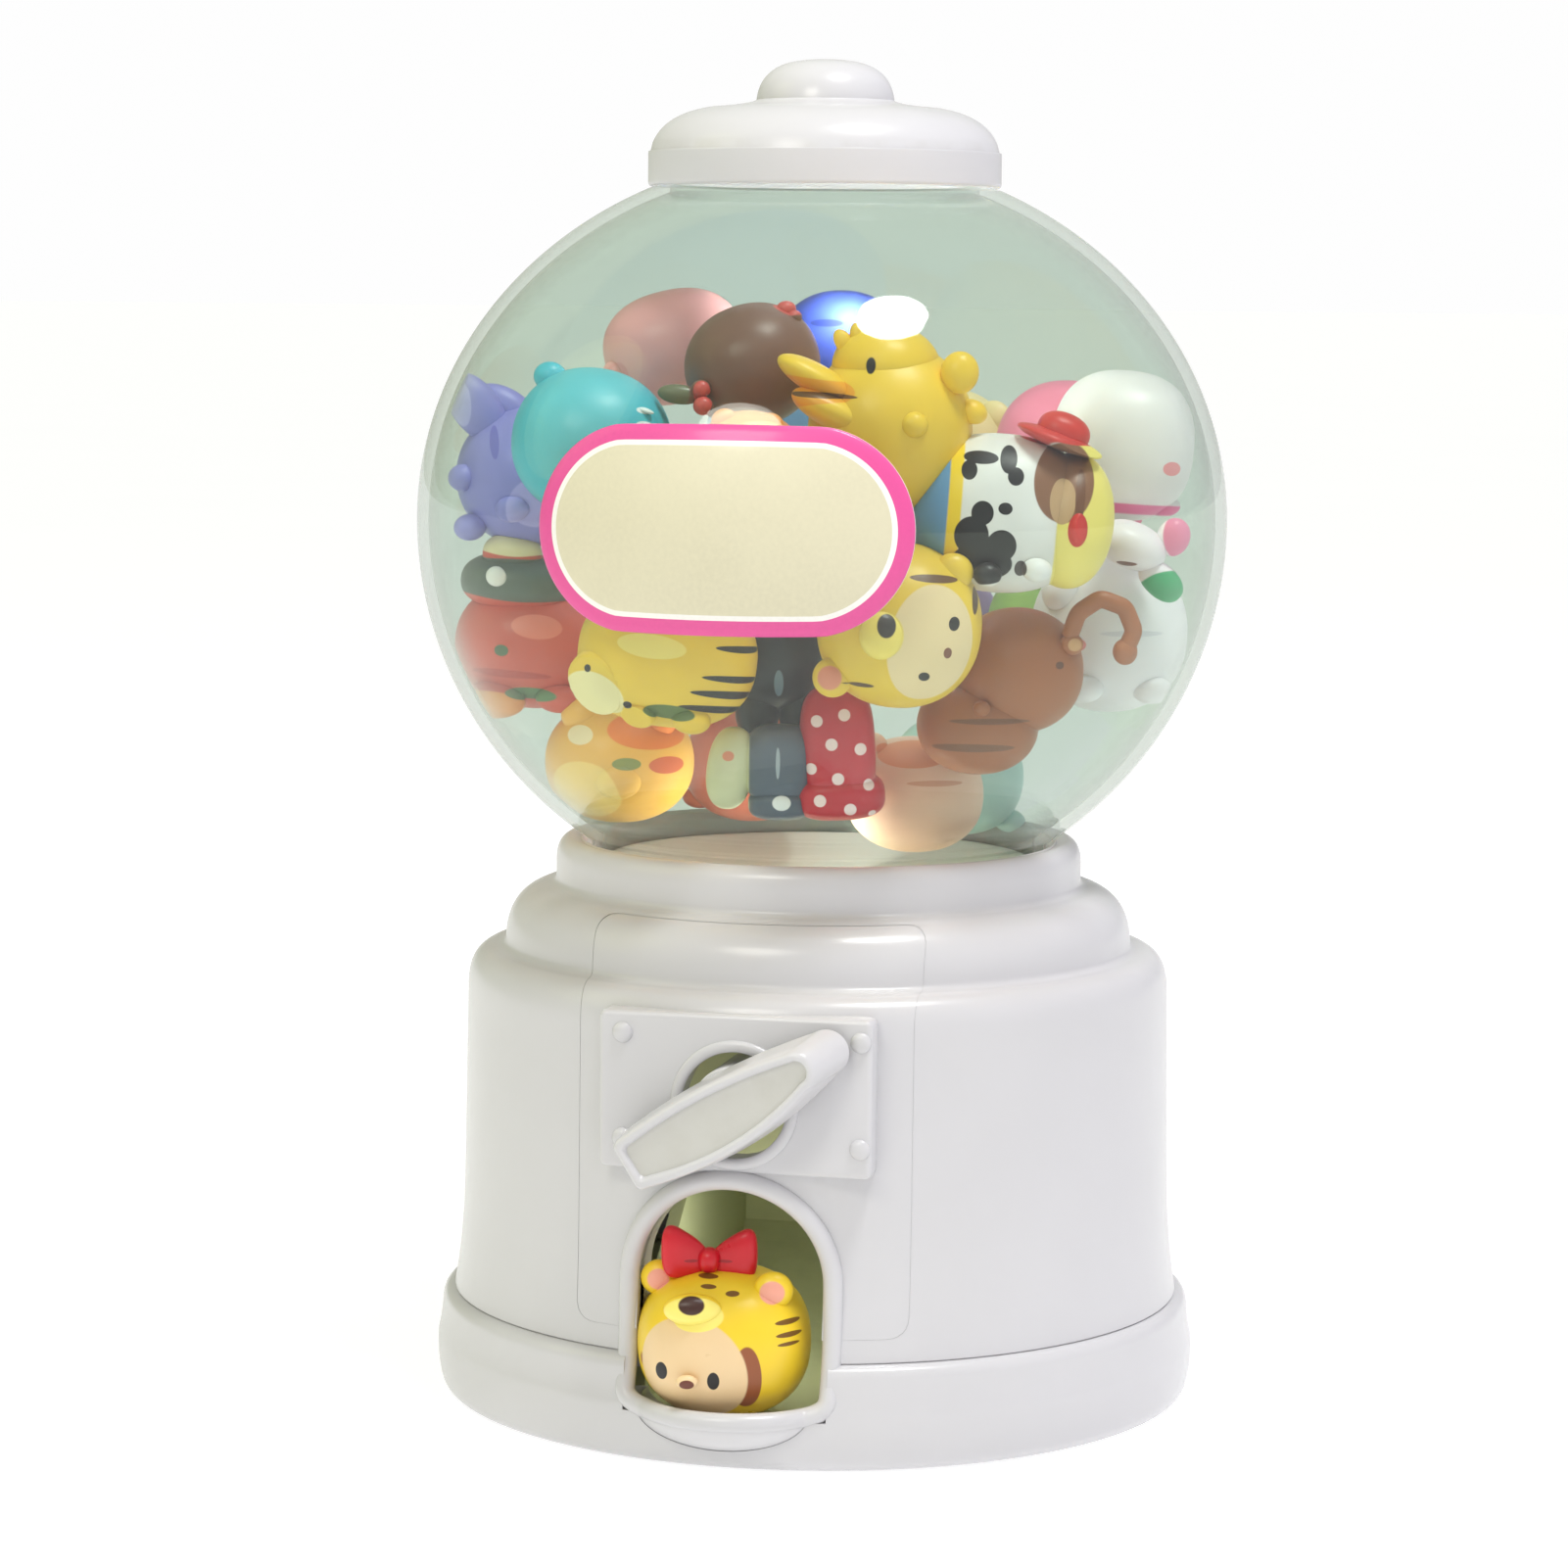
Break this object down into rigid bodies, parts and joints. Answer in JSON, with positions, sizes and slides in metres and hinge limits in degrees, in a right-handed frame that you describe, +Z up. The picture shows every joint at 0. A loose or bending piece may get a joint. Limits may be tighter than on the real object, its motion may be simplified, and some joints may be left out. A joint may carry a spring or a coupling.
{
  "type": "gumball machine",
  "caption": "Small toy dispenser: clear globe of toys on a stepped round base, with a lift-off lid, a turning knob that drives a scoop drum, and an arched outlet with a tray.",
  "frame": {"origin": "middle of the flat underside", "axes": "+Z up through the globe; the knob and outlet face -Y; +X to the right of someone facing the outlet"},
  "size_m": [0.0848, 0.0866, 0.14],
  "materials": {
    "white_plastic": "glossy moulded",
    "pale_plastic": "satin moulded",
    "inner_plastic": "satin moulded, in shadow",
    "clear_plastic": "clear, polished",
    "label_paper": "blank printed sticker with a pink border",
    "steel": "zinc plated",
    "vinyl_lilac": "soft vinyl",
    "vinyl_turquoise": "soft vinyl",
    "vinyl_orange": "soft vinyl",
    "vinyl_yellow": "soft vinyl",
    "vinyl_white": "soft vinyl",
    "vinyl_pink": "soft vinyl",
    "vinyl_cocoa": "soft vinyl",
    "vinyl_indigo": "soft vinyl",
    "vinyl_coral": "soft vinyl",
    "vinyl_black": "soft vinyl",
    "vinyl_tan": "soft vinyl",
    "vinyl_red": "soft vinyl",
    "vinyl_slate": "soft vinyl",
    "vinyl_peach": "soft vinyl",
    "vinyl_mint": "soft vinyl",
    "vinyl_cream": "soft vinyl",
    "vinyl_sky": "soft vinyl",
    "vinyl_green": "soft vinyl",
    "vinyl_violet": "soft vinyl"
  },
  "bodies": {
    "base": {"globe": "clear_plastic", "label": "label_paper", "body_shell": "white_plastic", "front_panel": "white_plastic", "base_foot": "white_plastic", "bottom_plate": "inner_plastic", "hopper": "pale_plastic", "drum_housing": "inner_plastic", "chute_ramp": "inner_plastic", "hopper_screw_1": "steel", "hopper_screw_2": "steel", "hopper_screw_3": "steel", "housing_screw_1": "steel", "housing_screw_2": "steel", "foot_screw_1": "steel", "foot_screw_2": "steel", "foot_screw_3": "steel", "foot_screw_4": "steel", "toy_lilac": "vinyl_lilac", "toy_turquoise": "vinyl_turquoise", "toy_orange": "vinyl_orange", "toy_apricot": "vinyl_orange", "toy_chick": "vinyl_yellow", "toy_cub": "vinyl_yellow", "toy_striped": "vinyl_yellow", "toy_delivered": "vinyl_yellow", "toy_back_7": "vinyl_yellow", "toy_patchwork": "vinyl_white", "toy_white_upper": "vinyl_white", "toy_white_lower": "vinyl_white", "toy_back_8": "vinyl_white", "toy_pink": "vinyl_pink", "toy_back_1": "vinyl_pink", "toy_blossom": "vinyl_pink", "toy_cocoa": "vinyl_cocoa", "toy_indigo": "vinyl_indigo", "toy_coral": "vinyl_coral", "toy_low_2": "vinyl_coral", "toy_black": "vinyl_black", "toy_nut": "vinyl_tan", "toy_back_4": "vinyl_tan", "toy_red": "vinyl_red", "toy_slate": "vinyl_slate", "toy_peach": "vinyl_peach", "toy_mint": "vinyl_mint", "toy_low_1": "vinyl_mint", "toy_back_2": "vinyl_cream", "toy_back_3": "vinyl_sky", "toy_back_5": "vinyl_green", "toy_back_6": "vinyl_violet"},
    "lid": {"lid": "white_plastic"},
    "rotor": {"knob": "white_plastic", "drive_shaft": "steel", "dispensing_drum": "inner_plastic", "rear_washer": "steel", "rear_screw": "steel"}
  },
  "joints": [
    {"name": "knob_turn", "type": "hinge", "parent": "base", "child": "rotor", "pos_m": [0, -0.038, 0.0362], "axis": [0, -1, 0], "continuous": true},
    {"name": "lid_lift", "type": "slide", "parent": "base", "child": "lid", "axis": [0, 0, 1], "range_m": [0, 0.03]}
  ]
}
